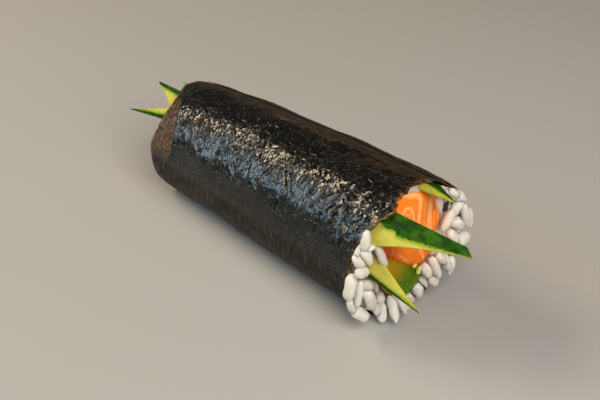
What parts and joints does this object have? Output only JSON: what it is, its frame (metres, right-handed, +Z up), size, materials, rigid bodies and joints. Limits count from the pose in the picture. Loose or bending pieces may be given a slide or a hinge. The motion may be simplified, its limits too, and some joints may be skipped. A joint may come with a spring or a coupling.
{
  "type": "salmon hand roll",
  "caption": "Sushi hand roll: a tube of roasted nori round rice, with a strip of salmon, avocado and cucumber sticks that run through and stand out of the ends.",
  "frame": {"origin": "middle of the small flat that the roll rests on, half way along it", "axes": "+X along the roll towards its open end where the rice shows, +Z up, +Y across the roll towards the side the sheet's seam is on"},
  "size_m": [0.1619, 0.0472, 0.0424],
  "materials": {
    "nori": "crinkled, semi-gloss",
    "rice": "moist",
    "salmon": "moist",
    "avocado": "smooth",
    "cucumber": "moist"
  },
  "bodies": {
    "root": {"nori_wrap": "nori", "rice": "rice", "salmon": "salmon", "avocado": "avocado", "cucumber_upper": "cucumber", "cucumber_lower": "cucumber", "cucumber_sliver": "cucumber"}
  },
  "joints": []
}
